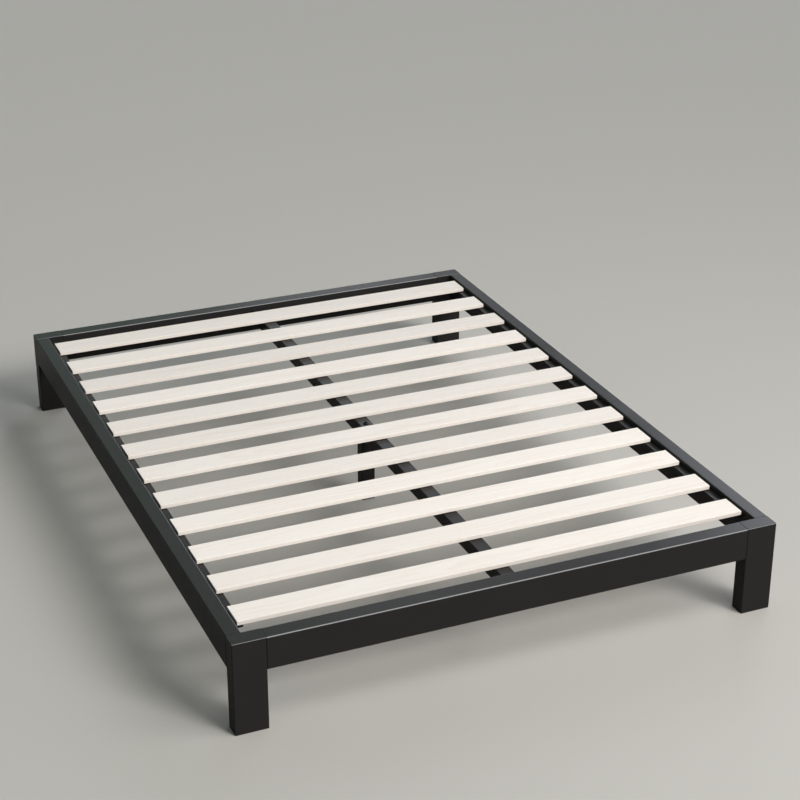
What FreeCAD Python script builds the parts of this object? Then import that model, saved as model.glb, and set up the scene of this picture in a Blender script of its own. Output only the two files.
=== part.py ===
import FreeCAD, Part
import math
import os
import re

import Sketcher

# A low platform bed frame: four steel corner posts, four box-section rails between them, a centre
# rail on a centre leg, and twelve wooden slats lying on a ledge inside each side rail.
# +X is to the right seen from the foot end, +Y runs from the foot to the head, +Z is up.
# The origin is on the floor, at the middle of the footprint. All sizes are in millimetres.

SIZES = [
    # The whole frame
    ("overall_width", 1511, "outside width across the posts"),
    ("overall_length", 2032, "outside length, foot to head"),
    ("steel_height", 254, "height of the steelwork above the glides"),
    ("seam_gap", 0.8, "open seam between a post and the end of a rail"),
    ("tube_corner", 3, "outside corner radius of posts and rails"),
    # Corner posts
    ("post_width", 88, "post section across the bed"),
    ("post_depth", 46, "post section along the bed"),
    ("post_wall", 1.5, "post wall"),
    ("cap_thickness", 2.5, "plate welded on top of a post"),
    ("cap_edge", 1.2, "rounding of the plate's top edge"),
    # Rails between the posts
    ("end_rail_height", 90, "end rail height; an end rail is as deep as a post"),
    ("end_rail_wall", 1.2, "end rail wall"),
    ("side_rail_width", 40, "side rail section across the bed"),
    ("side_rail_height", 90, "side rail height"),
    ("side_rail_wall", 1.2, "side rail wall"),
    # Stubs that the rails slide over
    ("stub_length", 80, "length of a stub on a post"),
    ("stub_wall", 2, "stub wall"),
    ("stub_clearance", 0.4, "play between a stub and the inside of its rail, on each side"),
    ("centre_stub_length", 60, "length of the stub inside each end of the centre rail"),
    # Bolts, washers and weld nuts
    ("bolt_first", 22, "from a stub's root to its first bolt"),
    ("bolt_spacing", 36, "between the two bolts of a joint"),
    ("bolt_hole", 9, "clearance hole for a bolt"),
    ("bolt_thread", 8, "bolt thread diameter"),
    ("bolt_tail", 2.5, "thread standing out of a nut"),
    ("bolt_head", 14, "button head diameter"),
    ("bolt_head_height", 4.4, "button head height"),
    ("hex_key", 5, "hexagon socket across flats"),
    ("hex_key_depth", 2.6, "hexagon socket depth"),
    ("washer_diameter", 17, "washer outside diameter"),
    ("washer_hole", 8.4, "washer hole"),
    ("washer_thickness", 1.6, "washer thickness"),
    ("nut_flats", 13, "weld nut across flats"),
    ("nut_height", 6.5, "weld nut height"),
    ("nut_play", 0.1, "nut bore over bolt thread, on the diameter"),
    # Ledges that carry the slats
    ("ledge_width", 25, "ledge tube section across the bed"),
    ("ledge_height", 10, "ledge tube height"),
    ("ledge_wall", 1.2, "ledge tube wall"),
    ("ledge_corner", 1.5, "ledge tube corner radius"),
    ("ledge_drop", 15, "from the top of a side rail down to the ledge"),
    ("ledge_setback", 59, "from the inside of an end rail to the ledge's end"),
    ("plug_flange", 1.5, "flange of the plug in a ledge's end"),
    ("plug_reach", 12, "length of the plug inside the ledge"),
    ("plug_play", 0.15, "play between a plug and the tube around it, on each side"),
    # Slats and the pads that hold them
    ("slat_count", 12, "number of slats"),
    ("slat_width", 78, "slat width"),
    ("slat_thickness", 12, "slat thickness"),
    ("slat_edge", 2.5, "rounding of a slat's long edges"),
    ("slat_end_play", 7, "from a slat's end to the side rail"),
    ("slat_margin", 51, "from an end rail to the nearest slat"),
    ("pad_thickness", 1.2, "hook-and-loop pad thickness"),
    ("pad_length", 44, "pad length along the bed"),
    ("pad_margin", 1.5, "from a pad to the edges of the surfaces that it joins"),
    # Centre rail and centre leg
    ("centre_width", 40, "section of the centre rail and centre leg across the bed"),
    ("centre_rail_height", 40, "centre rail height"),
    ("centre_rail_wall", 1.2, "centre rail wall"),
    ("centre_corner", 2.5, "corner radius of the centre rail and centre leg"),
    ("centre_leg_depth", 40, "centre leg section along the bed"),
    ("centre_leg_wall", 1.5, "centre leg wall"),
    ("leg_plate_thickness", 3, "plate welded on top of the centre leg"),
    # Glides under the posts and the centre leg
    ("glide_thickness", 3, "flange of a glide"),
    ("glide_plug_height", 22, "glide plug inside the tube"),
    ("glide_plug_wall", 2.5, "wall of the glide's plug"),
]

doc = FreeCAD.newDocument("bed_frame")
sheet = doc.addObject("Spreadsheet::Sheet", "Sizes")
for row, (alias, value, note) in enumerate(SIZES, start=1):
    sheet.set("A%d" % row, note)
    sheet.set("B%d" % row, str(value))
    sheet.setAlias("B%d" % row, alias)
doc.recompute()


def cells(formula):
    """A formula of {aliases} as a FreeCAD expression that reads the sheet."""
    return re.sub(r"\{(\w+)\}", r"Sizes.\1", formula)


def number(formula):
    """The present value of a formula of {aliases}."""
    return float(sheet.evalExpression(cells(formula)))


# Places and lengths that several pieces share, as formulas of the sheet's cells.
HALF_WIDTH = "({overall_width} / 2)"
HALF_LENGTH = "({overall_length} / 2)"
TOP = "({glide_thickness} + {steel_height})"
INNER_X = "(%s - {side_rail_width})" % HALF_WIDTH
INNER_Y = "(%s - {post_depth})" % HALF_LENGTH
POST_X = "(%s - {post_width})" % HALF_WIDTH
LEDGE_TOP = "(%s - {ledge_drop})" % TOP
END_RAIL_MID = "(%s - {end_rail_height} / 2)" % TOP
SIDE_RAIL_MID = "(%s - {side_rail_height} / 2)" % TOP
CENTRE_RAIL_BOTTOM = "(%s - {centre_rail_height})" % LEDGE_TOP
CENTRE_RAIL_MID = "(%s - {centre_rail_height} / 2)" % LEDGE_TOP
END_RAIL_LENGTH = "(2 * %s - 2 * {seam_gap})" % POST_X
SIDE_RAIL_LENGTH = "(2 * %s - 2 * {seam_gap})" % INNER_Y
CENTRE_RAIL_LENGTH = "(2 * %s)" % INNER_Y
LEDGE_LENGTH = "(2 * %s - 2 * {ledge_setback} - 2 * {plug_flange})" % INNER_Y
LEDGE_INNER = "(%s - {ledge_width})" % INNER_X
SLAT_HALF = "(%s - {slat_end_play})" % INNER_X
SLAT_BOTTOM = "(%s + {pad_thickness})" % LEDGE_TOP
SLAT_SPAN = "(2 * %s - 2 * {slat_margin} - {slat_width})" % INNER_Y
LEG_PLATE_BOTTOM = "(%s - {leg_plate_thickness})" % CENTRE_RAIL_BOTTOM

X, Y, Z = FreeCAD.Vector(1, 0, 0), FreeCAD.Vector(0, 1, 0), FreeCAD.Vector(0, 0, 1)

# Every sub-part, by the name of its file.
pieces = {}


def facing(inner, along):
    """The rotation that lays a piece's own X along inner and its own Z along along."""
    return FreeCAD.Rotation(inner, along.cross(inner), along, "ZXY")


def place(piece, x, y, z, rotation=FreeCAD.Rotation()):
    """Turn a piece, and bind its position to formulas."""
    piece.Placement = FreeCAD.Placement(FreeCAD.Vector(), rotation)
    for axis, formula in (("x", x), ("y", y), ("z", z)):
        piece.setExpression("Placement.Base." + axis, cells(formula))


def signed(sign, formula):
    """The formula on the plus side, and its opposite on the minus side."""
    return formula if sign > 0 else "(-%s)" % formula


# ---- Making straight bars and tubes as PartDesign bodies ------------------------------------

def new_sketch(body, name, role):
    """An empty sketch on one of the body's own origin planes."""
    sketch = body.newObject("Sketcher::SketchObject", name)
    plane = [item for item in body.Origin.OriginFeatures if item.Role == role][0]
    sketch.AttachmentSupport = [(plane, "")]
    sketch.MapMode = "FlatFace"
    return sketch


def add_rectangle(sketch, width, height):
    """A rectangle about the sketch's origin, its two sizes bound to formulas."""
    half_w, half_h = number(width) / 2, number(height) / 2
    corners = [FreeCAD.Vector(right * half_w, up * half_h, 0)
               for right, up in ((-1, -1), (1, -1), (1, 1), (-1, 1))]
    first = sketch.GeometryCount
    for index in range(4):
        sketch.addGeometry(Part.LineSegment(corners[index], corners[(index + 1) % 4]), False)
    for index in range(4):
        following = first + (index + 1) % 4
        sketch.addConstraint(Sketcher.Constraint("Coincident", first + index, 2, following, 1))
        kind = "Vertical" if index % 2 else "Horizontal"
        sketch.addConstraint(Sketcher.Constraint(kind, first + index))
    sketch.addConstraint(Sketcher.Constraint("Symmetric", first, 1, first + 2, 1, -1, 1))
    for kind, line, formula in (("DistanceX", first, width), ("DistanceY", first + 1, height)):
        bound = sketch.addConstraint(
            Sketcher.Constraint(kind, line, 1, line, 2, number(formula)))
        sketch.setExpression("Constraints[%d]" % bound, cells(formula))


def add_circle(sketch, diameter, x, y):
    """A circle whose centre and diameter are bound to formulas."""
    centre = FreeCAD.Vector(number(x), number(y), 0)
    circle = sketch.addGeometry(Part.Circle(centre, Z, number(diameter) / 2), False)
    bound = sketch.addConstraint(Sketcher.Constraint("Diameter", circle, number(diameter)))
    sketch.setExpression("Constraints[%d]" % bound, cells(diameter))
    for kind, formula, axis in (("DistanceX", x, -2), ("DistanceY", y, -1)):
        if formula == "0":
            sketch.addConstraint(Sketcher.Constraint("PointOnObject", circle, 3, axis))
        else:
            bound = sketch.addConstraint(
                Sketcher.Constraint(kind, -1, 1, circle, 3, number(formula)))
            sketch.setExpression("Constraints[%d]" % bound, cells(formula))


def pad(body, name, sketch, length):
    """Pad a sketch along its normal."""
    feature = body.newObject("PartDesign::Pad", name)
    feature.Profile = sketch
    feature.setExpression("Length", cells(length))
    doc.recompute()


def long_edges(shape, width, height):
    """Names of the edges along Z at the corners of a section of that width and height."""
    half_w, half_h = number(width) / 2, number(height) / 2
    names = []
    for index, edge in enumerate(shape.Edges, start=1):
        ends = [vertex.Point for vertex in edge.Vertexes]
        upright = len(ends) == 2 and abs(ends[0].z - ends[1].z) > 0.001
        if upright and all(abs(abs(end.x) - half_w) < 0.001 and abs(abs(end.y) - half_h) < 0.001
                           for end in ends):
            names.append("Edge%d" % index)
    return names


def round_edges(body, name, edges, radius):
    """A fillet on the named edges of the body's last feature."""
    last = body.Tip
    fillet = body.newObject("PartDesign::Fillet", name)
    fillet.Base = (last, edges)
    fillet.setExpression("Radius", cells(radius))
    doc.recompute()


def bar(label, width, height, length, corner=None, wall=None):
    """A straight bar, or a tube if it has a wall: a section padded along Z, its corners round."""
    body = doc.addObject("PartDesign::Body", label)
    body.Label = label
    section = new_sketch(body, label + "_section", "XY_Plane")
    add_rectangle(section, width, height)
    if wall:
        bore_width = "(%s - 2 * %s)" % (width, wall)
        bore_height = "(%s - 2 * %s)" % (height, wall)
        add_rectangle(section, bore_width, bore_height)
    pad(body, label + "_length", section, length)
    if corner:
        edges = long_edges(body.Shape, width, height)
        round_edges(body, label + "_corners", edges, corner)
    if wall and number(corner) > number(wall):
        edges = long_edges(body.Shape, bore_width, bore_height)
        round_edges(body, label + "_bore", edges, "(%s - %s)" % (corner, wall))
    pieces[label] = body
    return body


def cut_holes(body, name, role, points, depth, plus):
    """Bolt holes from the body's middle plane out through its wall on the plus or minus side."""
    before = body.Shape.Volume
    sketch = new_sketch(body, name + "_layout", role)
    for x, y in points:
        add_circle(sketch, "{bolt_hole}", x, y)
    pocket = body.newObject("PartDesign::Pocket", name)
    pocket.Profile = sketch
    pocket.setExpression("Length", cells(depth))
    # A pocket runs against its sketch's normal: +X on the YZ plane, -Y on XZ and +Z on XY.
    pocket.Reversed = plus != (role == "XZ_Plane")
    doc.recompute()
    if body.Shape.Volume > before - 1:
        raise RuntimeError(name + " cuts nothing")


# ---- Corner posts, with their caps and glides -----------------------------------------------

CORNERS = [("foot_left", -1, -1), ("foot_right", 1, -1), ("head_left", -1, 1), ("head_right", 1, 1)]


def make_post(corner):
    """A corner post: an upright tube between its glide and its cap."""
    return bar(corner + "_post", "{post_width}", "{post_depth}",
               "({steel_height} - {cap_thickness})", "{tube_corner}", "{post_wall}")


def make_cap(corner):
    """The plate that closes a post's top, its upper rim rounded."""
    cap = bar(corner + "_post_cap", "{post_width}", "{post_depth}", "{cap_thickness}",
              "{tube_corner}")
    top = number("{cap_thickness}")
    rim = ["Edge%d" % index for index, edge in enumerate(cap.Shape.Edges, start=1)
           if all(abs(vertex.Point.z - top) < 0.001 for vertex in edge.Vertexes)]
    round_edges(cap, corner + "_cap_rim", rim, "{cap_edge}")
    return cap


def make_glide(label, width, depth, wall, corner):
    """A plastic foot: a flange under a tube, and a hollow plug inside it."""
    glide = bar(label, width, depth, "{glide_thickness}", corner)
    plug_width = "(%s - 2 * %s - 2 * {plug_play})" % (width, wall)
    plug_depth = "(%s - 2 * %s - 2 * {plug_play})" % (depth, wall)
    section = new_sketch(glide, label + "_plug_section", "XY_Plane")
    add_rectangle(section, plug_width, plug_depth)
    add_rectangle(section, "(%s - 2 * {glide_plug_wall})" % plug_width,
                  "(%s - 2 * {glide_plug_wall})" % plug_depth)
    pad(glide, label + "_plug", section, "({glide_thickness} + {glide_plug_height})")
    edges = long_edges(glide.Shape, plug_width, plug_depth)
    round_edges(glide, label + "_plug_corners", edges, corner)
    return glide


for corner, right, head in CORNERS:
    post_x = signed(right, "(%s - {post_width} / 2)" % HALF_WIDTH)
    post_y = signed(head, "(%s - {post_depth} / 2)" % HALF_LENGTH)
    place(make_post(corner), post_x, post_y, "{glide_thickness}")
    place(make_cap(corner), post_x, post_y, "(%s - {cap_thickness})" % TOP)
    glide = make_glide(corner + "_glide", "{post_width}", "{post_depth}", "{post_wall}",
                       "{tube_corner}")
    place(glide, post_x, post_y, "0")


# ---- Rails between the posts, and the stubs that they slide over ----------------------------

def rail_holes(length):
    """Bolt places in a rail, two at each end on its mid height."""
    first = "({bolt_first} - {seam_gap})"
    second = "({bolt_first} + {bolt_spacing} - {seam_gap})"
    return [("0", first), ("0", second),
            ("0", "(%s - %s)" % (length, first)), ("0", "(%s - %s)" % (length, second))]


def make_rail(label, depth, height, length, wall):
    """A rail with bolt holes in its inner wall."""
    rail = bar(label, depth, height, length, "{tube_corner}", wall)
    cut_holes(rail, label + "_holes", "YZ_Plane", rail_holes(length), depth, True)
    return rail


def make_stub(label, depth, height, wall):
    """A stub on a post, which fits inside a rail of that section and takes its bolts."""
    stub = bar(label, "(%s - 2 * %s - 2 * {stub_clearance})" % (depth, wall),
               "(%s - 2 * %s - 2 * {stub_clearance})" % (height, wall),
               "{stub_length}", "{tube_corner}", "{stub_wall}")
    holes = [("0", "{bolt_first}"), ("0", "({bolt_first} + {bolt_spacing})")]
    cut_holes(stub, label + "_holes", "YZ_Plane", holes, depth, True)
    return stub


for end, head in (("foot", -1), ("head", 1)):
    rail = make_rail(end + "_rail", "{post_depth}", "{end_rail_height}", END_RAIL_LENGTH,
                     "{end_rail_wall}")
    rail_y = signed(head, "(%s - {post_depth} / 2)" % HALF_LENGTH)
    place(rail, "(-%s / 2)" % END_RAIL_LENGTH, rail_y, END_RAIL_MID, facing(Y * -head, X))

for hand, right in (("left", -1), ("right", 1)):
    rail = make_rail(hand + "_side_rail", "{side_rail_width}", "{side_rail_height}",
                     SIDE_RAIL_LENGTH, "{side_rail_wall}")
    rail_x = signed(right, "(%s - {side_rail_width} / 2)" % HALF_WIDTH)
    place(rail, rail_x, "(-%s / 2)" % SIDE_RAIL_LENGTH, SIDE_RAIL_MID, facing(X * -right, Y))

for corner, right, head in CORNERS:
    # The bolts draw each stub against the inner wall of its rail.
    stub = make_stub(corner + "_end_stub", "{post_depth}", "{end_rail_height}",
                     "{end_rail_wall}")
    stub_y = signed(head, "(%s - {post_depth} / 2 - {stub_clearance})" % HALF_LENGTH)
    place(stub, signed(right, POST_X), stub_y, END_RAIL_MID, facing(Y * -head, X * -right))
    stub = make_stub(corner + "_side_stub", "{side_rail_width}", "{side_rail_height}",
                     "{side_rail_wall}")
    stub_x = signed(right, "(%s - {side_rail_width} / 2 - {stub_clearance})" % HALF_WIDTH)
    place(stub, stub_x, signed(head, INNER_Y), SIDE_RAIL_MID, facing(X * -right, Y * -head))


# ---- Ledges inside the side rails -----------------------------------------------------------

for hand, right in (("left", -1), ("right", 1)):
    ledge = bar(hand + "_slat_ledge", "{ledge_width}", "{ledge_height}", LEDGE_LENGTH,
                "{ledge_corner}", "{ledge_wall}")
    place(ledge, signed(right, "(%s - {ledge_width} / 2)" % INNER_X),
          "(-%s / 2)" % LEDGE_LENGTH, "(%s - {ledge_height} / 2)" % LEDGE_TOP,
          facing(X * -right, Y))


# ---- Centre rail, its stubs and the centre leg ----------------------------------------------

centre_rail = bar("centre_rail", "{centre_width}", "{centre_rail_height}", CENTRE_RAIL_LENGTH,
                  "{centre_corner}", "{centre_rail_wall}")
# The centre rail's own +Y points down, so its lower wall is on the plus side.
stub_bolt = "({centre_stub_length} / 2)"
lower_holes = [("0", stub_bolt), ("0", "(%s / 2)" % CENTRE_RAIL_LENGTH),
               ("0", "(%s - %s)" % (CENTRE_RAIL_LENGTH, stub_bolt))]
cut_holes(centre_rail, "centre_rail_lower_holes", "XZ_Plane", lower_holes,
          "{centre_rail_height}", True)
cut_holes(centre_rail, "centre_rail_upper_hole", "XZ_Plane", lower_holes[1:2],
          "{centre_rail_height}", False)
place(centre_rail, "0", "(-%s)" % INNER_Y, CENTRE_RAIL_MID, facing(X, Y))

for end, head in (("foot", -1), ("head", 1)):
    label = end + "_centre_stub"
    stub = bar(label, "({centre_width} - 2 * {centre_rail_wall} - 2 * {stub_clearance})",
               "({centre_rail_height} - 2 * {centre_rail_wall} - 2 * {stub_clearance})",
               "{centre_stub_length}", "{centre_corner}", "{stub_wall}")
    cut_holes(stub, label + "_hole", "XZ_Plane", [("0", stub_bolt)], "{centre_rail_height}", True)
    # Its own +Y points down, and its bolt draws it against the rail's lower wall.
    place(stub, "0", signed(head, INNER_Y), "(%s - {stub_clearance})" % CENTRE_RAIL_MID,
          facing(X * -head, Y * -head))

leg = bar("centre_leg", "{centre_width}", "{centre_leg_depth}",
          "(%s - {glide_thickness})" % LEG_PLATE_BOTTOM, "{centre_corner}", "{centre_leg_wall}")
place(leg, "0", "0", "{glide_thickness}")
leg_plate = bar("centre_leg_plate", "{centre_width}", "{centre_leg_depth}",
                "{leg_plate_thickness}", "{centre_corner}")
cut_holes(leg_plate, "centre_leg_plate_hole", "XY_Plane", [("0", "0")],
          "{leg_plate_thickness}", True)
place(leg_plate, "0", "0", LEG_PLATE_BOTTOM)
place(make_glide("centre_leg_glide", "{centre_width}", "{centre_leg_depth}",
                 "{centre_leg_wall}", "{centre_corner}"), "0", "0", "0")


# ---- Slats ----------------------------------------------------------------------------------

def slat_place(index):
    """Where a slat lies along the bed: the slats share the span between the two margins."""
    return "(%s * (%d / ({slat_count} - 1) - 0.5))" % (SLAT_SPAN, index)


slat_total = round(number("{slat_count}"))
for index in range(slat_total):
    slat = bar("slat_%02d" % (index + 1), "{slat_width}", "{slat_thickness}",
               "(2 * %s)" % SLAT_HALF, "{slat_edge}")
    place(slat, "(-%s)" % SLAT_HALF, slat_place(index),
          "(%s + {slat_thickness} / 2)" % SLAT_BOTTOM, facing(Y, X))


# ---- Groups of identical small pieces -------------------------------------------------------

def group(label, solids):
    """Identical separate solids as one sub-part."""
    feature = doc.addObject("Part::Feature", label)
    feature.Label = label
    feature.Shape = Part.makeCompound(solids)
    pieces[label] = feature


def moved(shape, point, axis):
    """A copy of a shape with its own Z laid along axis and its origin at point."""
    copy = shape.copy()
    copy.Placement = FreeCAD.Placement(point, FreeCAD.Rotation(Z, axis))
    return copy


def block(width, depth, height, corner):
    """A block on the XY plane, centred on Z, with rounded upright edges."""
    box = Part.makeBox(width, depth, height, FreeCAD.Vector(-width / 2, -depth / 2, 0))
    upright = [edge for edge in box.Edges
               if abs(edge.Vertexes[0].Point.z - edge.Vertexes[1].Point.z) > height / 2]
    return box.makeFillet(corner, upright)


def hexagon(flats, height):
    """A hexagonal prism on the XY plane."""
    radius = flats / math.sqrt(3)
    corners = [FreeCAD.Vector(radius * math.cos(math.radians(60 * step)),
                              radius * math.sin(math.radians(60 * step)), 0)
               for step in range(7)]
    return Part.Face(Part.makePolygon(corners)).extrude(Z * height)


def make_bolt(reach):
    """A button-head bolt: the shank along +Z from its head's flat side, the dome below."""
    radius, height = number("{bolt_head} / 2"), number("{bolt_head_height}")
    dome_radius = (radius ** 2 + height ** 2) / (2 * height)
    dome = Part.makeSphere(dome_radius, FreeCAD.Vector(0, 0, dome_radius - height))
    head = Part.makeCylinder(radius, height, -Z * height).common(dome)
    socket = hexagon(number("{hex_key}"), number("{hex_key_depth}"))
    socket.translate(-Z * height)
    shank = Part.makeCylinder(number("{bolt_thread} / 2"), reach)
    return head.cut(socket).fuse(shank).removeSplitter()


def make_washer():
    """A flat washer, its upper side on the XY plane."""
    thickness = number("{washer_thickness}")
    disc = Part.makeCylinder(number("{washer_diameter} / 2"), thickness, -Z * thickness)
    return disc.cut(Part.makeCylinder(number("{washer_hole} / 2"), thickness, -Z * thickness))


def make_nut():
    """A hexagonal weld nut standing on the XY plane."""
    height = number("{nut_height}")
    bore = Part.makeCylinder(number("({bolt_thread} + {nut_play}) / 2"), height)
    return hexagon(number("{nut_flats}"), height).cut(bore)


def make_ledge_plug():
    """A plug for a ledge's end: the flange below the XY plane, the plug above it."""
    width, height = number("{ledge_width}"), number("{ledge_height}")
    inset = 2 * (number("{ledge_wall}") + number("{plug_play}"))
    flange = block(width, height, number("{plug_flange}"), number("{ledge_corner}"))
    flange.translate(-Z * number("{plug_flange}"))
    plug = block(width - inset, height - inset, number("{plug_reach}"),
                 number("{ledge_corner}") / 2)
    return flange.fuse(plug)


def rail_joints():
    """Each bolted joint as a point on the rail's inner face, the way in and the rail's wall."""
    joints = []
    for corner, right, head in CORNERS:
        for step in (0, 1):
            run = number("{bolt_first}") + step * number("{bolt_spacing}")
            joints.append((FreeCAD.Vector(right * (number(POST_X) - run), head * number(INNER_Y),
                                          number(END_RAIL_MID)),
                           Y * head, number("{end_rail_wall}")))
            joints.append((FreeCAD.Vector(right * number(INNER_X), head * (number(INNER_Y) - run),
                                          number(SIDE_RAIL_MID)),
                           X * right, number("{side_rail_wall}")))
    for head in (-1, 1):
        place_y = head * (number(INNER_Y) - number(stub_bolt))
        joints.append((FreeCAD.Vector(0, place_y, number(CENTRE_RAIL_BOTTOM)), Z,
                       number("{centre_rail_wall}")))
    return joints


joints = rail_joints()
washer_thickness = number("{washer_thickness}")
stub_wall = number("{stub_wall}")
thickest_wall = max(wall for point, way, wall in joints)
grip = washer_thickness + thickest_wall + stub_wall + number("{nut_height} + {bolt_tail}")
group("joint_bolts", [moved(make_bolt(grip), point - way * washer_thickness, way)
                      for point, way, wall in joints])
group("joint_washers", [moved(make_washer(), point, way) for point, way, wall in joints])
group("joint_nuts", [moved(make_nut(), point + way * (wall + stub_wall), way)
                     for point, way, wall in joints])

# The centre leg's bolt goes down through the centre rail into the nut under the leg's plate.
leg_bolt_top = FreeCAD.Vector(0, 0, number(LEDGE_TOP))
leg_grip = washer_thickness + number(
    "{centre_rail_height} + {leg_plate_thickness} + {nut_height} + {bolt_tail}")
group("centre_leg_bolt", [moved(make_bolt(leg_grip), leg_bolt_top + Z * washer_thickness, -Z)])
group("centre_leg_washer", [moved(make_washer(), leg_bolt_top, -Z)])
group("centre_leg_nut", [moved(make_nut(), FreeCAD.Vector(0, 0, number(LEG_PLATE_BOTTOM)), -Z)])

# A ledge's plug lies on its side: its own Z is turned along the bed about X.
plugs = []
for right in (-1, 1):
    for head in (-1, 1):
        plug = make_ledge_plug()
        plug.Placement = FreeCAD.Placement(
            FreeCAD.Vector(right * number("(%s + %s) / 2" % (INNER_X, LEDGE_INNER)),
                           head * number("%s / 2" % LEDGE_LENGTH),
                           number("%s - {ledge_height} / 2" % LEDGE_TOP)),
            FreeCAD.Rotation(X, 90 * head))
        plugs.append(plug)
group("ledge_plugs", plugs)

# One pad under each slat on each surface that carries it.
pad_height, pad_run = number("{pad_thickness}"), number("{pad_length}")
margin = number("{pad_margin}")
ledge_pad = number(SLAT_HALF) - number(LEDGE_INNER) - 2 * margin
centre_pad = number("{centre_width} - 2 * {centre_corner}") - 2 * margin
for label, middle, across in (
        ("left_slat_pads", -number("(%s + %s) / 2" % (SLAT_HALF, LEDGE_INNER)), ledge_pad),
        ("centre_slat_pads", 0, centre_pad),
        ("right_slat_pads", number("(%s + %s) / 2" % (SLAT_HALF, LEDGE_INNER)), ledge_pad)):
    group(label, [
        Part.makeBox(across, pad_run, pad_height,
                     FreeCAD.Vector(middle - across / 2, number(slat_place(index)) - pad_run / 2,
                                    number(LEDGE_TOP)))
        for index in range(slat_total)])


# ---- Checks and files -----------------------------------------------------------------------

doc.recompute()
for item in doc.Objects:
    if "Invalid" in item.State or "Error" in item.State:
        raise RuntimeError("%s did not recompute" % item.Label)
for label, piece in pieces.items():
    if piece.Shape.isNull() or not piece.Shape.isValid() or piece.Shape.Volume <= 0:
        raise RuntimeError("%s has no sound shape" % label)

os.makedirs("parts", exist_ok=True)
for label, piece in pieces.items():
    piece.Shape.exportStep(os.path.join("parts", label + ".step"))
print("%d sub-parts written" % len(pieces))
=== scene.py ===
# %% [markdown]
# # A low platform bed frame in powder-coated steel, with a deck of pine slats
#
# The frame below is built of straight steel tube, so its shape is already exact in the CAD model.
# What this file adds is how each surface looks: the satin coat on the steel, the planed pine, and
# the small things that the maker leaves behind, such as the welds under the ledges.
# The first step loads the CAD model and keeps its box.

# %% Load the frame
import math

import bpy
import numpy as np
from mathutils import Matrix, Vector


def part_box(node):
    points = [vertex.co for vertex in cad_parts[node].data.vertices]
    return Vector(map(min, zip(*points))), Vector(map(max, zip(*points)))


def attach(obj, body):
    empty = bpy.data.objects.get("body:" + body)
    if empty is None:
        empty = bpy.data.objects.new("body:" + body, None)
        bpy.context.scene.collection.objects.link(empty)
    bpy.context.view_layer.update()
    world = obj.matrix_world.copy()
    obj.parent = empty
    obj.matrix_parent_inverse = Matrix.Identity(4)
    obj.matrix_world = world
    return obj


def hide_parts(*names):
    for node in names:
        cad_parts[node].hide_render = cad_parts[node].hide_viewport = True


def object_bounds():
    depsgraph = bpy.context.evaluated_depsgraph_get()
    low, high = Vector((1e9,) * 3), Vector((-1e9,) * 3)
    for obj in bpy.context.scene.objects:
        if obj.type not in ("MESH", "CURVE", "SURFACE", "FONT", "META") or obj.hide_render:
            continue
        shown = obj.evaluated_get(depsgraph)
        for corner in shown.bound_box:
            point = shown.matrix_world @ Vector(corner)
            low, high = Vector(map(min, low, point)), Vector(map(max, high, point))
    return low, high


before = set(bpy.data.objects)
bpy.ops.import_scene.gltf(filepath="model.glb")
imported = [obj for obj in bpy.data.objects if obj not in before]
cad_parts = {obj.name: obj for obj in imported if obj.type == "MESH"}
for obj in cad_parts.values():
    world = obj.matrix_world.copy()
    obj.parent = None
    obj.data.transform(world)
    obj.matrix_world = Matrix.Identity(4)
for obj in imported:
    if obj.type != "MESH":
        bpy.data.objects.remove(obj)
cad_box = [list(corner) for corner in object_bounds()]
low, high = (np.array(corner) for corner in cad_box)
print("CAD nodes:", len(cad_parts), "box in metres:", np.round(high - low, 3))

# %% [markdown]
# ## Helpers
#
# Colours are easiest to choose as the hex values of a paint chart. Those are in sRGB, but a shader
# works in linear light, so one function turns them. A second one adds a node, sets it and links it
# in one line, which keeps each material short enough to read as a recipe.

# %% Colour, length and node helpers
MM = 0.001


def linear(hex_colour):
    """Turn an sRGB hex colour such as "#f2e8dc" to linear red, green, blue and alpha."""
    parts = [int(hex_colour[i:i + 2], 16) / 255 for i in (1, 3, 5)]
    return [p / 12.92 if p <= 0.04045 else ((p + 0.055) / 1.055) ** 2.4 for p in parts] + [1]


def add(tree, kind, links=None, **settings):
    """Add a node. links gives each input a socket or a value; settings set the node's properties."""
    node = tree.nodes.new(kind)
    for name, value in settings.items():
        setattr(node, name, value)
    for socket, value in (links or {}).items():
        if isinstance(value, bpy.types.NodeSocket):
            tree.links.new(value, node.inputs[socket])
        else:
            node.inputs[socket].default_value = value
    return node


def new_material(name):
    """Return a new material and its node tree, which is still empty."""
    material = bpy.data.materials.new(name)
    material.use_nodes = True
    material.node_tree.nodes.clear()
    return material, material.node_tree


def per_metre(size_mm):
    """Scale of a noise whose cells are about size_mm across, for coordinates in metres."""
    return 1 / (size_mm * MM)


print("helpers ready; mid grey #808080 is", round(linear("#808080")[0], 3), "in linear light")

# %% [markdown]
# ## Painted edge highlight
#
# The upper edges across the bed get a painted highlight, a pale line where light would catch them.
# Painting such a line would need to know where each rail ends. The normal already knows: it leans
# both up and along the bed only on those roundings, so a product of the two finds them everywhere.

# %% A mask for the painted edge highlight
PAINTED_HIGHLIGHT_STARTS = 0.12       # the product is 0 on flat faces and 0.5 in the middle of a rounding
PAINTED_HIGHLIGHT_IS_FULL = 0.4


def painted_edge_highlight(tree):
    """Mask of the painted highlight: |normal Y| * normal Z, stretched, 1 on upper cross edges, 0 on
    flat faces.
    """
    normal = add(tree, "ShaderNodeSeparateXYZ",
                 {"Vector": add(tree, "ShaderNodeTexCoord").outputs["Normal"]})
    lean = add(tree, "ShaderNodeMath", {0: normal.outputs["Y"]}, operation="ABSOLUTE")
    tilted = add(tree, "ShaderNodeMath", {0: lean.outputs[0], 1: normal.outputs["Z"]},
                 operation="MULTIPLY")
    return add(tree, "ShaderNodeMapRange",
               {"Value": tilted.outputs[0], "From Min": PAINTED_HIGHLIGHT_STARTS, "From Max": PAINTED_HIGHLIGHT_IS_FULL})


# the painted edge highlight begins where the product passes this value
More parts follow.
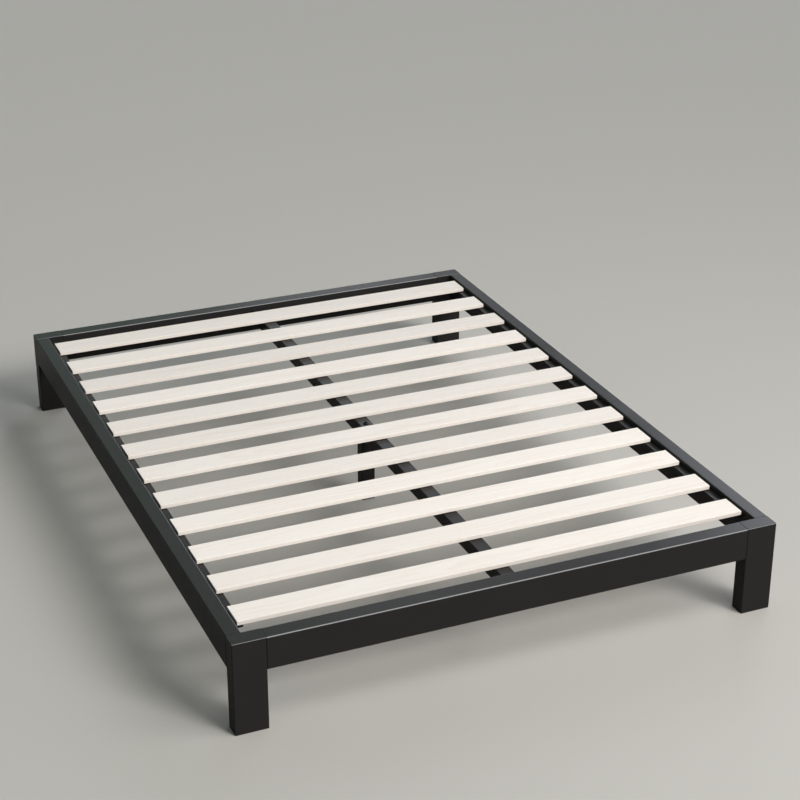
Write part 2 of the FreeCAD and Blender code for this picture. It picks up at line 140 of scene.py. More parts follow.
print("an edge is rubbed where the product passes", PAINTED_HIGHLIGHT_STARTS)

# %% [markdown]
# ## The steel's coat
#
# The tubes are mild steel with a polyester powder coat, baked until it melts and flows out. It
# never flows quite flat: the skin keeps a faint orange peel, with bumps a few millimetres wide and
# a few hundredths of a millimetre high. That is what gives a satin coat its soft, slightly broken
# highlights. Under the coat's colour there is no metal to see, so metallic stays at zero.
# The peel is a noise in object coordinates. A second, much wider noise moves the colour and the
# roughness a little, as the film's thickness does along a rail.
# The film's IOR is that of polyester. Its fine matting scatters most of what a clear film would
# mirror, so the specular level is far below the usual half.

# %% Powder coat
FILM_DRIFT_MM = 160             # how far apart thick and thin places in the film are
FILM_GLOSS = (-0.03, 0.04)      # what the drift adds to the roughness
POLYESTER_IOR = 1.5
SATIN_SPECULAR = 0.12


def coat(name, colour, colour_thin, colour_painted_highlight, roughness, peel_mm, peel_height_mm):
    """Powder coat: colour and gloss drift slowly, cross edges get a painted highlight, and the skin
    has peel.
    """
    material, tree = new_material(name)
    place = add(tree, "ShaderNodeTexCoord").outputs["Object"]
    film = add(tree, "ShaderNodeTexNoise",
               {"Vector": place, "Scale": per_metre(FILM_DRIFT_MM), "Detail": 3,
                "Roughness": 0.55})
    tone = add(tree, "ShaderNodeMix",
               {"Factor": film.outputs["Fac"], "A": linear(colour), "B": linear(colour_thin)},
               data_type="RGBA")
    # painted highlight: the upper edges across the bed are mixed towards a pale colour
    highlighted = add(tree, "ShaderNodeMix",
                 {"Factor": painted_edge_highlight(tree).outputs["Result"], "A": tone.outputs["Result"],
                  "B": linear(colour_painted_highlight)}, data_type="RGBA")
    gloss = add(tree, "ShaderNodeMapRange",
                {"Value": film.outputs["Fac"], "From Min": 0.3, "From Max": 0.7,
                 "To Min": roughness + FILM_GLOSS[0], "To Max": roughness + FILM_GLOSS[1]})
    peel = add(tree, "ShaderNodeTexNoise",
               {"Vector": place, "Scale": per_metre(peel_mm), "Detail": 2, "Roughness": 0.4})
    relief = add(tree, "ShaderNodeBump",
                 {"Height": peel.outputs["Fac"], "Strength": 1, "Distance": peel_height_mm * MM})
    skin = add(tree, "ShaderNodeBsdfPrincipled",
               {"Base Color": highlighted.outputs["Result"], "Roughness": gloss.outputs["Result"],
                "Normal": relief.outputs["Normal"], "IOR": POLYESTER_IOR,
                "Specular IOR Level": SATIN_SPECULAR})
    add(tree, "ShaderNodeOutputMaterial", {"Surface": skin.outputs["BSDF"]})
    return material


# the third colour is a painted highlight on the upper edges across the bed, not a colour of the coat
powder_coat = coat("satin black powder coat", colour="#262525", colour_thin="#2a2929",
                   colour_painted_highlight="#8b8c8f", roughness=0.22, peel_mm=3.2, peel_height_mm=0.035)
thin_coat = coat("thin black powder coat", colour="#1b1b1c", colour_thin="#222223",
                 colour_painted_highlight="#222223", roughness=0.5, peel_mm=2.4, peel_height_mm=0.04)
print("coats:", powder_coat.name, "and", thin_coat.name)

# %% [markdown]
# ## The slats' wood
#
# The slats are sawn from pale softwood, planed and sanded, and left bare. A board shows its tree's
# growth rings wherever it is cut: as arcs on the end, as long lines and pointed arches on the face.
# Painting lines on the face would leave the ends wrong, so the rings are made as the tree made
# them, as cylinders round a pith that runs along the slat, and the surface simply cuts them.
# Every slat came from another place in a trunk, so each has a number, and the number picks its
# pith and its tone. First, then, come the slats' places, which turn a point into a number.

# %% Where the slats lie
slat_names = sorted(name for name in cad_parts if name.startswith("slat_"))
slat_boxes = [[np.array(corner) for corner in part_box(name)] for name in slat_names]
slat_y = np.mean(slat_boxes, axis=1)[:, 1]
first_slat_y = float(slat_y[0])
slat_pitch = float(slat_y[1] - slat_y[0])
slat_top_z = float(slat_boxes[0][1][2])
print(len(slat_names), "slats at", round(slat_pitch / MM, 1), "mm centres")

# %% A number and a pith for every slat
PITH_SPREAD_MM = 70     # how far to the side of a slat its pith may lie
PITH_DEPTH_MM = 55      # least depth of the pith under the top face
PITH_DEEPEST = 3        # the greatest depth, in least depths
TRUNK_STEP = 0.731      # metres along the trunk from one slat's piece to the next


def slat_number(tree, place):
    """Round((Y - first slat's Y) / pitch): 0 at the foot end, and one more for each slat."""
    axes = add(tree, "ShaderNodeSeparateXYZ", {"Vector": place})
    from_first = add(tree, "ShaderNodeMath", {0: axes.outputs["Y"], 1: first_slat_y},
                     operation="SUBTRACT")
    steps = add(tree, "ShaderNodeMath", {0: from_first.outputs[0], 1: slat_pitch},
                operation="DIVIDE")
    return add(tree, "ShaderNodeMath", {0: steps.outputs[0]}, operation="ROUND").outputs[0]


def from_pith(tree, place, number, aside, depth):
    """Place minus the slat's pith. Y and Z then lead out from the pith, and X runs along it."""
    middle_y = add(tree, "ShaderNodeMath", {0: number, 1: slat_pitch, 2: first_slat_y},
                   operation="MULTIPLY_ADD")
    pith_aside = add(tree, "ShaderNodeMapRange",
                     {"Value": aside, "To Min": -PITH_SPREAD_MM * MM,
                      "To Max": PITH_SPREAD_MM * MM})
    pith_y = add(tree, "ShaderNodeMath",
                 {0: middle_y.outputs[0], 1: pith_aside.outputs["Result"]}, operation="ADD")
    pith_z = add(tree, "ShaderNodeMapRange",
                 {"Value": depth, "To Min": slat_top_z - PITH_DEPTH_MM * MM,
                  "To Max": slat_top_z - PITH_DEEPEST * PITH_DEPTH_MM * MM})
    pith_x = add(tree, "ShaderNodeMath", {0: number, 1: TRUNK_STEP}, operation="MULTIPLY")
    pith = add(tree, "ShaderNodeCombineXYZ",
               {"X": pith_x.outputs[0], "Y": pith_y.outputs[0], "Z": pith_z.outputs["Result"]})
    return add(tree, "ShaderNodeVectorMath", {0: place, 1: pith.outputs["Vector"]},
               operation="SUBTRACT").outputs["Vector"]


print("piths lie", PITH_DEPTH_MM, "to", PITH_DEEPEST * PITH_DEPTH_MM, "mm under the slats' tops")

# %% [markdown]
# A year's ring is pale early wood that darkens into a narrow line of late wood, and then stops
# short where the winter was. The trunk was not a true cylinder, so a slow noise, much longer along
# the trunk than across it, pushes the rings sideways. On a flat face that turns straight lines into
# the pointed arches that make pine look like pine.

# %% Growth rings
RING_MM = 5.5           # width of one year's growth
TRUNK_WAVE_MM = 90      # size of the trunk's waviness, across the trunk
TAPER_MM = 26           # how far the waviness carries a ring sideways
YEAR = ((0.0, 0.1), (0.45, 0.25), (0.72, 0.85), (0.86, 1.0), (0.95, 0.1))   # (time, darkness)


def growth_rings(tree, grain, slow):
    """Fract((distance from the pith + slow noise) / ring width), then the darkness of a YEAR."""
    drift = add(tree, "ShaderNodeTexNoise",
                {"Vector": slow, "Scale": per_metre(TRUNK_WAVE_MM), "Detail": 2,
                 "Roughness": 0.45})
    push = add(tree, "ShaderNodeMapRange",
               {"Value": drift.outputs["Fac"], "To Min": -TAPER_MM * MM, "To Max": TAPER_MM * MM})
    across = add(tree, "ShaderNodeVectorMath", {0: grain, 1: (0, 1, 1)}, operation="MULTIPLY")
    radius = add(tree, "ShaderNodeVectorMath", {0: across.outputs["Vector"]}, operation="LENGTH")
    bent = add(tree, "ShaderNodeMath", {0: radius.outputs["Value"], 1: push.outputs["Result"]},
               operation="ADD")
    years = add(tree, "ShaderNodeMath", {0: bent.outputs[0], 1: RING_MM * MM}, operation="DIVIDE")
    season = add(tree, "ShaderNodeMath", {0: years.outputs[0]}, operation="FRACT")
    ring = add(tree, "ShaderNodeValToRGB", {"Fac": season.outputs[0]})
    stops = ring.color_ramp.elements
    for time, _ in YEAR[1:-1]:
        stops.new(time)
    for stop, (time, darkness) in zip(stops, YEAR):
        stop.position, stop.color = time, (darkness, darkness, darkness, 1)
    return ring.outputs["Color"]


print("rings", RING_MM, "mm apart, darkest at", max(YEAR, key=lambda stop: stop[1])[0], "of a year")

# %% [markdown]
# Over the rings lie the fibres: fine streaks along the grain, which planing leaves slightly raised.
# The rings show strongly in some places and hardly in others, as sun and soil varied.
# Bare wood mirrors little, because its skin is open fibre, so its IOR is a little under glass and
# its roughness high.

# %% Planed pine
FIBRE_MM = 2.4              # real fibre streaks are about 0.5 mm wide, drawn coarser to show
FIGURE_MM = 35              # size of the places where the rings show more or less
ALONG_TRUNK = (0.11, 1, 1)  # slow noises are nine times longer along the grain
ALONG_FIBRE = (0.03, 1, 1)  # fibres are over thirty times longer
FIGURE = (0.12, 0.6)        # how strongly rings show, least and most
STREAK = 0.55               # how strongly fibres show
BOARD_TONE = (0.94, 1.03)   # darkest and lightest slat
PLANED = (0.52, 0.68)       # roughness between fibres and on them
GRAIN_HEIGHT_MM = 0.08      # how far planing leaves the grain raised
FIBRE_SHARE = 0.4           # the fibres' part in the raised grain, beside the rings' part of 1
WOOD_IOR = 1.45


def pine(name, early_wood, late_wood, weathered):
    """Softwood: growth rings round each slat's pith, fine fibre streaks, and a tone per slat."""
    material, tree = new_material(name)
    place = add(tree, "ShaderNodeTexCoord").outputs["Object"]
    number = slat_number(tree, place)
    chance = add(tree, "ShaderNodeTexWhiteNoise", {"W": number}, noise_dimensions="1D")
    pick = add(tree, "ShaderNodeSeparateColor", {"Color": chance.outputs["Color"]})
    grain = from_pith(tree, place, number, pick.outputs["Red"], pick.outputs["Green"])
    slow = add(tree, "ShaderNodeVectorMath", {0: grain, 1: ALONG_TRUNK},
               operation="MULTIPLY").outputs["Vector"]
    rings = growth_rings(tree, grain, slow)

    figure = add(tree, "ShaderNodeTexNoise",
                 {"Vector": slow, "Scale": per_metre(FIGURE_MM), "Detail": 3})
    strength = add(tree, "ShaderNodeMapRange",
                   {"Value": figure.outputs["Fac"], "From Min": 0.35, "From Max": 0.7,
                    "To Min": FIGURE[0], "To Max": FIGURE[1]})
    shown = add(tree, "ShaderNodeMath", {0: rings, 1: strength.outputs["Result"]},
                operation="MULTIPLY")
    wood = add(tree, "ShaderNodeMix",
               {"Factor": shown.outputs[0], "A": linear(early_wood), "B": linear(late_wood)},
               data_type="RGBA")

    along = add(tree, "ShaderNodeVectorMath", {0: grain, 1: ALONG_FIBRE}, operation="MULTIPLY")
    fibre = add(tree, "ShaderNodeTexNoise",
                {"Vector": along.outputs["Vector"], "Scale": per_metre(FIBRE_MM), "Detail": 4,
                 "Roughness": 0.6})
    streak = add(tree, "ShaderNodeMapRange",
                 {"Value": fibre.outputs["Fac"], "From Min": 0.35, "From Max": 0.75,
                  "To Min": 0, "To Max": STREAK})
    streaked = add(tree, "ShaderNodeMix",
                   {"Factor": streak.outputs["Result"], "A": wood.outputs["Result"],
                    "B": linear(weathered)}, data_type="RGBA")
    tone = add(tree, "ShaderNodeMapRange",
               {"Value": pick.outputs["Blue"], "To Min": BOARD_TONE[0], "To Max": BOARD_TONE[1]})
    board = add(tree, "ShaderNodeHueSaturation",
                {"Color": streaked.outputs["Result"], "Value": tone.outputs["Result"]})

    raised = add(tree, "ShaderNodeMath",
                 {0: fibre.outputs["Fac"], 1: FIBRE_SHARE, 2: shown.outputs[0]},
                 operation="MULTIPLY_ADD")
    relief = add(tree, "ShaderNodeBump",
                 {"Height": raised.outputs[0], "Strength": 1, "Distance": GRAIN_HEIGHT_MM * MM})
    planed = add(tree, "ShaderNodeMapRange",
                 {"Value": fibre.outputs["Fac"], "To Min": PLANED[0], "To Max": PLANED[1]})
    skin = add(tree, "ShaderNodeBsdfPrincipled",
               {"Base Color": board.outputs["Color"], "Roughness": planed.outputs["Result"],
                "Normal": relief.outputs["Normal"], "IOR": WOOD_IOR})
    add(tree, "ShaderNodeOutputMaterial", {"Surface": skin.outputs["BSDF"]})
    return material


bare_pine = pine("planed bare pine", early_wood="#f3ede7", late_wood="#e6d6c9",
                 weathered="#e8e0da")
print("wood:", bare_pine.name, "with fibres", FIBRE_MM, "mm wide")

# %% [markdown]
# ## Plastic, hardware and tape
#
# The glides under the legs and the plugs in the ledges are moulded in black polyethylene, with the
# fine grain that the mould's eroded surface gives. The bolts are steel turned black in hot oxide:
# the film is so thin that the metal still reflects through it, dark and a little oily.
# The weld nuts are zinc plated, and zinc crystals catch the light patch by patch.
# The tape is a mat of nylon loops, so it is matt, with a faint sheen at a glancing angle.

# %% Moulded polyethylene
POLYETHYLENE_IOR = 1.51
MOULD_GRAIN_HEIGHT_MM = 0.05
MOULD_GLOSS = 0.08              # how far the grain moves the roughness, either way


def moulded(name, colour, roughness, grain_mm):
    """Moulded plastic: one colour, with the mould's eroded grain in height and gloss."""
    material, tree = new_material(name)
    place = add(tree, "ShaderNodeTexCoord").outputs["Object"]
    grain = add(tree, "ShaderNodeTexNoise",
                {"Vector": place, "Scale": per_metre(grain_mm), "Detail": 3})
    relief = add(tree, "ShaderNodeBump",
                 {"Height": grain.outputs["Fac"], "Strength": 1,
                  "Distance": MOULD_GRAIN_HEIGHT_MM * MM})
    gloss = add(tree, "ShaderNodeMapRange",
                {"Value": grain.outputs["Fac"], "To Min": roughness - MOULD_GLOSS,
                 "To Max": roughness + MOULD_GLOSS})
    skin = add(tree, "ShaderNodeBsdfPrincipled",
               {"Base Color": linear(colour), "Roughness": gloss.outputs["Result"],
                "Normal": relief.outputs["Normal"], "IOR": POLYETHYLENE_IOR})
    add(tree, "ShaderNodeOutputMaterial", {"Surface": skin.outputs["BSDF"]})
    return material


polyethylene = moulded("moulded black polyethylene", colour="#17171a", roughness=0.5, grain_mm=1.2)
print("plastic:", polyethylene.name)

# %% Black oxide and zinc
CRYSTAL_GLOSS = (-0.06, 0.08)   # what a crystal adds to the roughness, at the most


def plated(name, colour, colour_patch, roughness, patch_mm):
    """Plated or blackened metal: crystal patches differ a little in colour and gloss."""
    material, tree = new_material(name)
    place = add(tree, "ShaderNodeTexCoord").outputs["Object"]
    patch = add(tree, "ShaderNodeTexVoronoi", {"Vector": place, "Scale": per_metre(patch_mm)})
    pick = add(tree, "ShaderNodeSeparateColor", {"Color": patch.outputs["Color"]})
    tint = add(tree, "ShaderNodeMix",
               {"Factor": pick.outputs["Red"], "A": linear(colour), "B": linear(colour_patch)},
               data_type="RGBA")
    gloss = add(tree, "ShaderNodeMapRange",
                {"Value": pick.outputs["Green"], "To Min": roughness + CRYSTAL_GLOSS[0],
                 "To Max": roughness + CRYSTAL_GLOSS[1]})
    skin = add(tree, "ShaderNodeBsdfPrincipled",
               {"Base Color": tint.outputs["Result"], "Roughness": gloss.outputs["Result"],
                "Metallic": 1})
    add(tree, "ShaderNodeOutputMaterial", {"Surface": skin.outputs["BSDF"]})
    return material


black_oxide = plated("black oxide on steel", colour="#26262a", colour_patch="#34343a",
                     roughness=0.34, patch_mm=1.5)
zinc_plate = plated("zinc plated steel", colour="#a9adb2", colour_patch="#c6cacf",
                    roughness=0.32, patch_mm=2.5)
print("hardware:", black_oxide.name, "and", zinc_plate.name)

# %% Hook and loop tape
PILE_HEIGHT_MM = 0.4
NYLON_ROUGHNESS = 0.9
NYLON_SHEEN = 0.4


def loop_tape(name, colour, colour_tip, loop_mm):
    """Woven tape with a pile of loops: lighter loop tips over a dark ground, with a soft sheen."""
    material, tree = new_material(name)
    place = add(tree, "ShaderNodeTexCoord").outputs["Object"]
    loops = add(tree, "ShaderNodeTexVoronoi", {"Vector": place, "Scale": per_metre(loop_mm)})
    pile = add(tree, "ShaderNodeMix",
               {"Factor": loops.outputs["Distance"], "A": linear(colour_tip), "B": linear(colour)},
               data_type="RGBA")
    relief = add(tree, "ShaderNodeBump",
                 {"Height": loops.outputs["Distance"], "Strength": 1,
                  "Distance": PILE_HEIGHT_MM * MM})
    skin = add(tree, "ShaderNodeBsdfPrincipled",
               {"Base Color": pile.outputs["Result"], "Roughness": NYLON_ROUGHNESS,
                "Normal": relief.outputs["Normal"], "Sheen Weight": NYLON_SHEEN,
                "Sheen Roughness": 0.4})
    add(tree, "ShaderNodeOutputMaterial", {"Surface": skin.outputs["BSDF"]})
    return material


nylon_loops = loop_tape("hook and loop tape", colour="#0d0d0e", colour_tip="#2a2a2c", loop_mm=1.1)
print("tape:", nylon_loops.name)

# %% [markdown]
# ## Dressing the CAD parts
#
# Each CAD node arrives with a material named for its finish. Swapping that for the finished
# material keeps the CAD part itself as it is.

# %% Give every CAD node its finish
FINISHES = {
    "powder_coated_steel": powder_coat,
    "inner_steel": thin_coat,
    "pine": bare_pine,
    "black_plastic": polyethylene,
    "black_hardware": black_oxide,
    "zinc_hardware": zinc_plate,
    "hook_and_loop": nylon_loops,
}
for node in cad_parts.values():
    for holder in node.material_slots:
        holder.material = FINISHES[holder.material.name.split(".")[0]]
print("finishes given to", len(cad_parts), "nodes")

# %% [markdown]
# ## The slats
#
# A slat leaves the planer with its long edges rounded, and the cross-cut ends get only a stroke of
# sandpaper. The CAD slat has the rounded edges but a knife-sharp end, and a knife-sharp end catches
# no light. Bevelling the box would do, but then the two kinds of edge share one width.
# Here the slat is one surface of two parameters instead: a rounded rectangle carried along the
# slat, which shrinks by the sanded edge at each end. Extra rows just inside each rounding keep
# the big faces flat to the eye when the mesh is shaded smooth.

# %% One mesh from a grid of points


def mesh_piece(name, points, faces, material):
    """Put points and faces into a mesh that rides on the frame, shaded smooth."""
    mesh = bpy.data.meshes.new(name)
    mesh.from_pydata(points.tolist(), [], faces)
    mesh.shade_smooth()
    mesh.materials.append(material)
    piece = bpy.data.objects.new(name, mesh)
    bpy.context.scene.collection.objects.link(piece)
    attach(piece, "root")
    return piece


def grid_piece(name, rings, material):
    """Make a closed piece of rings of points, an array (ring, point, 3), with a face at each end."""
    ring_count, points = rings.shape[:2]
    ring, point = np.meshgrid(np.arange(ring_count - 1), np.arange(points), indexing="ij")
    after = (point + 1) % points
    quads = np.stack([ring * points + point, ring * points + after,
                      (ring + 1) * points + after, (ring + 1) * points + point], -1)
    last = (ring_count - 1) * points
    ends = [list(range(points))[::-1], list(range(last, last + points))]
    return mesh_piece(name, rings.reshape(-1, 3), quads.reshape(-1, 4).tolist() + ends, material)


print("a closed grid of r rings of p points has (r - 1) * p quads and 2 end faces")

# %% The slat's outline
SLAT_EDGE = 1.5 * MM        # rounding of the long edges
FLAT_MARGIN = 0.4 * MM      # how far inside a rounding the extra rows lie
EDGE_STEPS = 5

edge_turn = np.linspace(0, math.pi / 2, EDGE_STEPS + 1)
edge_arc = np.stack([np.cos(edge_turn), np.sin(edge_turn)], -1)
edge_arc = np.concatenate([edge_arc[:1], edge_arc, edge_arc[-1:]])
edge_margin = np.zeros_like(edge_arc)
edge_margin[0, 1] = edge_margin[-1, 0] = -FLAT_MARGIN


def at_four_corners(points):
    """Turn points (point, 2) by 0, 90, 180 and 270 degrees: x cos t - y sin t, x sin t + y cos t."""
    turn = np.arange(4) * math.pi / 2
    spin = np.stack([np.cos(turn), np.sin(turn), -np.sin(turn), np.cos(turn)], -1)
    return points @ spin.reshape(4, 2, 2)


def corner_centres(half_y, half_z):
    """Centre of each rounding, (4, 1, 2): the rectangle's corner, less the rounding on each side."""
    signs = np.round(at_four_corners(np.ones((1, 2))))
    return signs * (half_y - SLAT_EDGE, half_z - SLAT_EDGE)


print("an outline has", 4 * len(edge_arc), "points")

# %% The slat's surface
SLAT_ARRIS = 0.6 * MM       # sanding of the cross-cut ends
ARRIS_STEPS = 5


def slat_rings(box_low, box_high):
    """Corner centre + margin + (edge - inset) * arc. Inset is arris * (1 - cos b) at arris * sin b."""
    middle, half = (box_low + box_high) / 2, (box_high - box_low) / 2
    turn = np.linspace(0, math.pi / 2, ARRIS_STEPS)
    inset = np.concatenate([[0], SLAT_ARRIS * (1 - np.cos(turn))])
    reach = half[0] - SLAT_ARRIS + np.concatenate([[-FLAT_MARGIN], SLAT_ARRIS * np.sin(turn)])
    x = np.concatenate([-reach[::-1], reach])
    rounding = SLAT_EDGE - np.concatenate([inset[::-1], inset])
    outline = (corner_centres(half[1], half[2]) + at_four_corners(edge_margin)
               + rounding[:, None, None, None] * at_four_corners(edge_arc))
    outline = outline.reshape(len(x), -1, 2)
    along = np.broadcast_to(x[:, None, None], (*outline.shape[:2], 1))
    return np.concatenate([along, outline], -1) + middle


for name, (box_low, box_high) in zip(slat_names, slat_boxes):
    rings = slat_rings(box_low, box_high)
    slat = grid_piece("planed_" + name, rings, bare_pine)
    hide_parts(name)
print(len(slat_names), "planed slats of", rings.shape[0], "rings of", rings.shape[1], "points")

# %% [markdown]
# ## Welds
#
# Each ledge is tacked to its side rail from below with short beads, because one long bead would
# pull the rail crooked as it cools. A bead is a row of overlapping puddles, so its surface swells
# and narrows along its length, and tapers where the arc was struck and broken.
# It could be a displaced tube. As a surface of two parameters it is simply a quarter circle in the
# corner between the two steels, whose radius changes along the bead.

# %% Weld beads under the ledges
BEAD_LEG = 3.6 * MM
BEAD_LENGTH = 26 * MM
BEAD_PUDDLE = 2.6 * MM      # from one puddle to the next
BEAD_SWELL = 0.09           # how much wider a puddle is than the dip beside it
BEAD_TIP = 0.01             # square of the radius's share that is left at the very ends
BEADS_PER_LEDGE = 9
BEAD_STEPS = 61
BEAD_ARC_STEPS = 9


def bead_rings(corner, inward):
    """Quarter circles along Y, of radius leg * sqrt(1 - u^6) * (1 + swell * |sin(pi y / puddle)|)."""
    along = np.linspace(-1, 1, BEAD_STEPS)
    y = along * BEAD_LENGTH / 2
    taper = np.sqrt(np.clip(1 - along ** 6, BEAD_TIP, 1))
    swell = 1 + BEAD_SWELL * np.abs(np.sin(math.pi * y / BEAD_PUDDLE))
    turn = np.linspace(0, math.pi / 2, BEAD_ARC_STEPS)
    section = np.stack([inward * np.cos(turn), np.zeros_like(turn), -np.sin(turn)], -1)
    section = np.concatenate([section, [[0, 0, 0]]])
    rings = section[None] * (BEAD_LEG * taper * swell)[:, None, None]
    rings[:, :, 1] = y[:, None]
    return (rings if inward > 0 else rings[:, ::-1]) + corner


bead_count = 0
for side, inward in (("left", 1), ("right", -1)):
    ledge_low, ledge_high = (np.array(corner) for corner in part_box(side + "_slat_ledge"))
    rail_x = ledge_low[0] if inward > 0 else ledge_high[0]
    last_bead_y = ledge_high[1] - BEAD_LENGTH
    for y in np.linspace(-last_bead_y, last_bead_y, BEADS_PER_LEDGE):
        bead_count += 1
        grid_piece(f"{side}_ledge_weld_{bead_count:02d}",
                   bead_rings(np.array([rail_x, y, ledge_low[2]]), inward),
                   powder_coat)
print(bead_count, "weld beads")

# %% [markdown]
# ## Studio
#
# The room is only there to light the bed. First comes a plain pale floor.
# The rails' left faces are seen nearly edge on, so they mirror the floor beside them, and a pale
# floor lays a grey veil on the black coat. A studio would lay a dark cloth there, just out
# of view. Here the floor is simply darker for the rays that come from a reflection.

# %% Floor
FLOOR_HALF = 30.0
FLOOR_SEEN = "#bfbdb9"
FLOOR_MIRRORED = "#76736f"

floor_mesh = bpy.data.meshes.new("studio_floor")
floor_mesh.from_pydata([(-FLOOR_HALF, -FLOOR_HALF, 0), (FLOOR_HALF, -FLOOR_HALF, 0),
                        (FLOOR_HALF, FLOOR_HALF, 0), (-FLOOR_HALF, FLOOR_HALF, 0)],
                       [], [(0, 1, 2, 3)])
floor = bpy.data.objects.new("studio_floor", floor_mesh)
bpy.context.scene.collection.objects.link(floor)

floor_paint, tree = new_material("pale studio floor")
floor_tone = add(tree, "ShaderNodeMix",
                 {"Factor": add(tree, "ShaderNodeLightPath").outputs["Is Glossy Ray"],
                  "A": linear(FLOOR_SEEN), "B": linear(FLOOR_MIRRORED)}, data_type="RGBA")
floor_skin = add(tree, "ShaderNodeBsdfPrincipled",
                 {"Base Color": floor_tone.outputs["Result"], "Roughness": 0.9,
                  "Specular IOR Level": 0.1})
add(tree, "ShaderNodeOutputMaterial", {"Surface": floor_skin.outputs["BSDF"]})
floor_mesh.materials.append(floor_paint)
print("floor", 2 * FLOOR_HALF, "m wide, in", FLOOR_SEEN)

# %% [markdown]
# The light from the room is soft and comes from all round. Behind the bed it brightens from left
# to right like a wall with windows, which is what the rails' tops reflect, and higher up there is
# a plain ceiling. In front it only grows from dark on the left to pale on the right.
# A window is brighter than white paper, so the wall's levels are written in linear light.
# The camera itself sees none of this, only an even backdrop that meets the floor softly.

# %% Light from the room
WINDOW_WALL = (             # (how far to the right, from 0 straight behind to 1), (light level)
    (0.00, (0.36, 0.46, 0.43)), (0.15, (0.44, 0.59, 0.54)), (0.27, (0.47, 0.62, 0.57)),
    (0.34, (1.90, 1.95, 2.05)), (0.40, (0.68, 0.71, 0.75)), (0.49, (0.60, 0.64, 0.70)),
    (0.55, (6.00, 6.20, 6.70)), (0.68, (1.20, 1.22, 1.28)))
WALL_TOP, CEILING_FROM = 0.56, 0.72         # sine of the elevation
CEILING, BACKDROP = "#6a6e70", "#adaba7"
FRONT_LEFT, FRONT_RIGHT = "#4a4945", "#cfcdc9"

world = bpy.data.worlds.new("soft studio")
bpy.context.scene.world = world
world.use_nodes = True
world.node_tree.nodes.clear()
sky = world.node_tree
heading = add(sky, "ShaderNodeSeparateXYZ",
              {"Vector": add(sky, "ShaderNodeTexCoord").outputs["Generated"]})
wall = add(sky, "ShaderNodeValToRGB", {"Fac": heading.outputs["X"]})
stops = wall.color_ramp.elements
for right, _ in WINDOW_WALL[1:-1]:
    stops.new(right)
for stop, (right, level) in zip(stops, WINDOW_WALL):
    stop.position, stop.color = right, (*level, 1)
high_up = add(sky, "ShaderNodeMapRange",
              {"Value": heading.outputs["Z"], "From Min": WALL_TOP, "From Max": CEILING_FROM})
behind = add(sky, "ShaderNodeMix",
             {"Factor": high_up.outputs["Result"], "A": wall.outputs["Color"],
              "B": linear(CEILING)}, data_type="RGBA")
to_right = add(sky, "ShaderNodeMapRange",
               {"Value": heading.outputs["X"], "From Min": -0.5, "From Max": 0.7})
in_front = add(sky, "ShaderNodeMix",
               {"Factor": to_right.outputs["Result"], "A": linear(FRONT_LEFT),
                "B": linear(FRONT_RIGHT)}, data_type="RGBA")
to_back = add(sky, "ShaderNodeMapRange",
              {"Value": heading.outputs["Y"], "From Min": -0.2, "From Max": 0.2})
room = add(sky, "ShaderNodeMix",
           {"Factor": to_back.outputs["Result"], "A": in_front.outputs["Result"],
            "B": behind.outputs["Result"]}, data_type="RGBA")
seen = add(sky, "ShaderNodeMix",
           {"Factor": add(sky, "ShaderNodeLightPath").outputs["Is Camera Ray"],
            "A": room.outputs["Result"], "B": linear(BACKDROP)}, data_type="RGBA")
glow = add(sky, "ShaderNodeBackground", {"Color": seen.outputs["Result"], "Strength": 1.0})
add(sky, "ShaderNodeOutputWorld", {"Surface": glow.outputs["Background"]})
print("window wall with", len(stops), "levels")

# %% [markdown]
# One even light, as wide as a bank of windows seen from afar, keeps the floor the same near and
# far, lights the front faces, and lays the bed's shadow to its left and behind.
# A large panel above the foot end adds the slow fall of brightness along the deck.

# %% Lamps
LAMP_COLOUR = "#fffdf9"


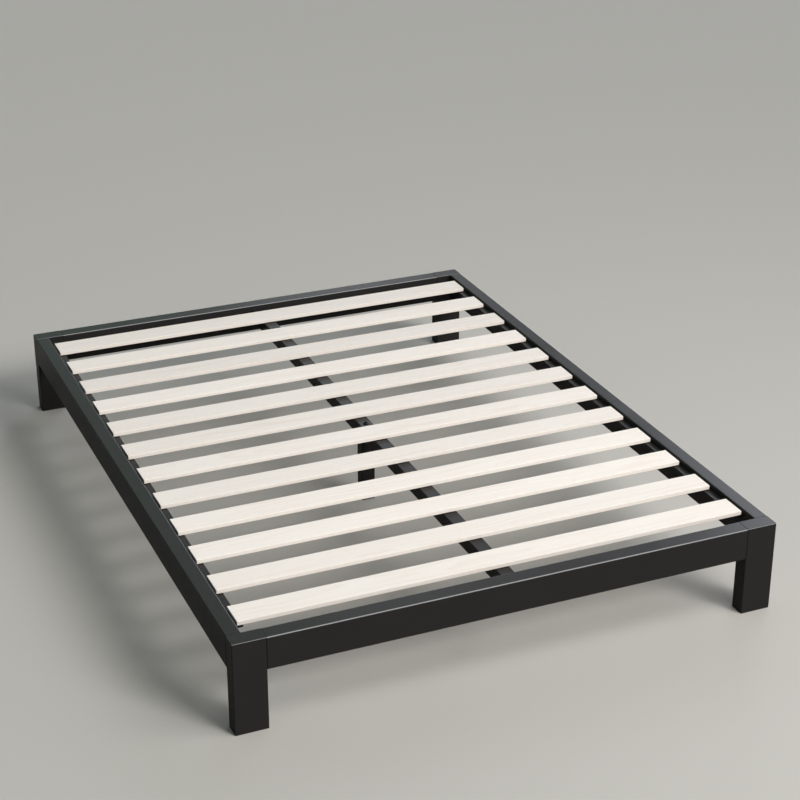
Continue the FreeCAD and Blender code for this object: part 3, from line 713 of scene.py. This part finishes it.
def aimed_light(name, kind, azimuth, elevation, distance, energy):
    """Light aimed at the bed's middle. Azimuth turns from +Y towards +X, in degrees."""
    turn, lift = math.radians(azimuth), math.radians(elevation)
    towards = Vector((math.sin(turn) * math.cos(lift), math.cos(turn) * math.cos(lift),
                      math.sin(lift)))
    data = bpy.data.lights.new(name, kind)
    data.energy, data.color = energy, linear(LAMP_COLOUR)[:3]
    lamp = bpy.data.objects.new(name, data)
    bpy.context.scene.collection.objects.link(lamp)
    lamp.location = towards * distance
    lamp.rotation_mode = "QUATERNION"
    lamp.rotation_quaternion = towards.to_track_quat("Z", "Y")
    return data


even_light = aimed_light("even_light", "SUN", azimuth=150, elevation=30.8, distance=8, energy=1.95)
even_light.angle = math.radians(22)
key_panel = aimed_light("key_panel", "AREA", azimuth=150, elevation=50, distance=4.5, energy=72)
key_panel.shape, key_panel.size, key_panel.size_y = "RECTANGLE", 2.6, 2.0
print("even light", round(math.degrees(even_light.angle)), "degrees wide, panel", key_panel.size, "m")

# %% [markdown]
# The camera stands near the foot end, a little to its left, and well back with a long lens, so that
# the rails stay nearly parallel. It is described by angles round the bed, since those are what one
# turns when composing a view.

# %% Camera
CAMERA_AZIMUTH = -23.15     # degrees from straight in front of the foot end, left is negative
CAMERA_ELEVATION = 24.99
CAMERA_DISTANCE = 5.90
CAMERA_LENS = 83.65         # millimetres
SENSOR_WIDTH = 36
AIM_FROM_CENTRE = (0.253, 0.335, 0)     # metres from the middle of the bed's box

centre = (low + high) / 2 + np.array(AIM_FROM_CENTRE)
turn, lift = math.radians(CAMERA_AZIMUTH), math.radians(CAMERA_ELEVATION)
back = np.array([math.sin(turn) * math.cos(lift), -math.cos(turn) * math.cos(lift),
                 math.sin(lift)])
camera_data = bpy.data.cameras.new("camera")
camera_data.lens, camera_data.sensor_width = CAMERA_LENS, SENSOR_WIDTH
camera = bpy.data.objects.new("camera", camera_data)
bpy.context.scene.collection.objects.link(camera)
camera.location = centre + back * CAMERA_DISTANCE
camera.rotation_mode = "QUATERNION"
camera.rotation_quaternion = Vector(back).to_track_quat("Z", "Y")
bpy.context.scene.camera = camera
bpy.context.scene.view_settings.view_transform = "Standard"
print("camera", np.round(camera.location, 3), "lens", CAMERA_LENS)
